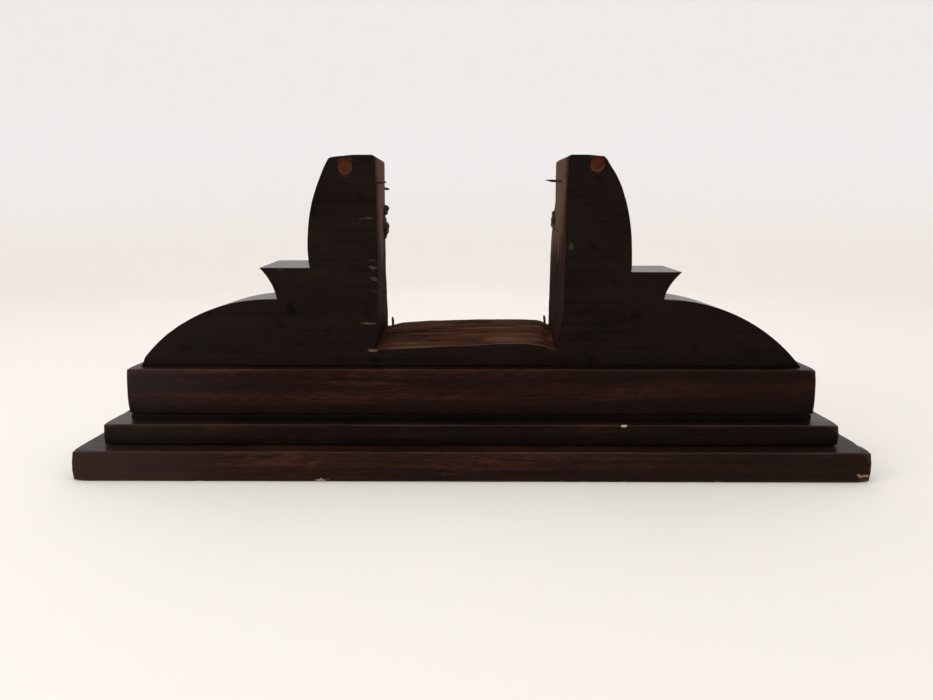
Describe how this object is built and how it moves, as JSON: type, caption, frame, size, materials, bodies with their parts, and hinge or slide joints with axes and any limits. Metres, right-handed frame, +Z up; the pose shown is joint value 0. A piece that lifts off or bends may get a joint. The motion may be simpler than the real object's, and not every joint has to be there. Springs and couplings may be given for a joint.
{
  "type": "stepped wooden desk stand",
  "caption": "Stepped hardwood desk stand: a scrolled body with an open rectangular cradle between two uprights, on a plinth of stacked boards.",
  "frame": {"origin": "middle of the underside of the bottom board", "axes": "+X to the right along the length, +Y from the front to the back, +Z up; the plugs are in the front face, at -Y"},
  "size_m": [0.4, 0.105, 0.1625],
  "materials": {
    "bottom_wood": "satin waxed dark rosewood, horizontal grain, worn arrises",
    "middle_wood": "satin waxed dark rosewood, horizontal grain",
    "strip_wood": "dull near-black stained wood",
    "top_wood": "satin waxed reddish rosewood, horizontal grain, worn arrises",
    "body_wood": "satin waxed near-black rosewood, raw orange-brown wood where the cradle is cut",
    "plug_wood": "raw orange-brown end grain",
    "pin_wire": "dark rusted wire",
    "dried_glue": "dark amber dried hide glue",
    "screw_metal": "tarnished brass"
  },
  "bodies": {
    "root": {"bottom_board": "bottom_wood", "middle_board": "middle_wood", "packing_strip": "strip_wood", "top_board": "top_wood", "body": "body_wood", "left_plug": "plug_wood", "right_plug": "plug_wood", "left_front_pin": "pin_wire", "left_back_pin": "pin_wire", "right_pin": "pin_wire", "left_floor_pin": "pin_wire", "right_floor_pin": "pin_wire", "left_glue": "dried_glue", "right_glue": "dried_glue", "base_screws": "screw_metal", "body_screws": "screw_metal"}
  },
  "joints": []
}
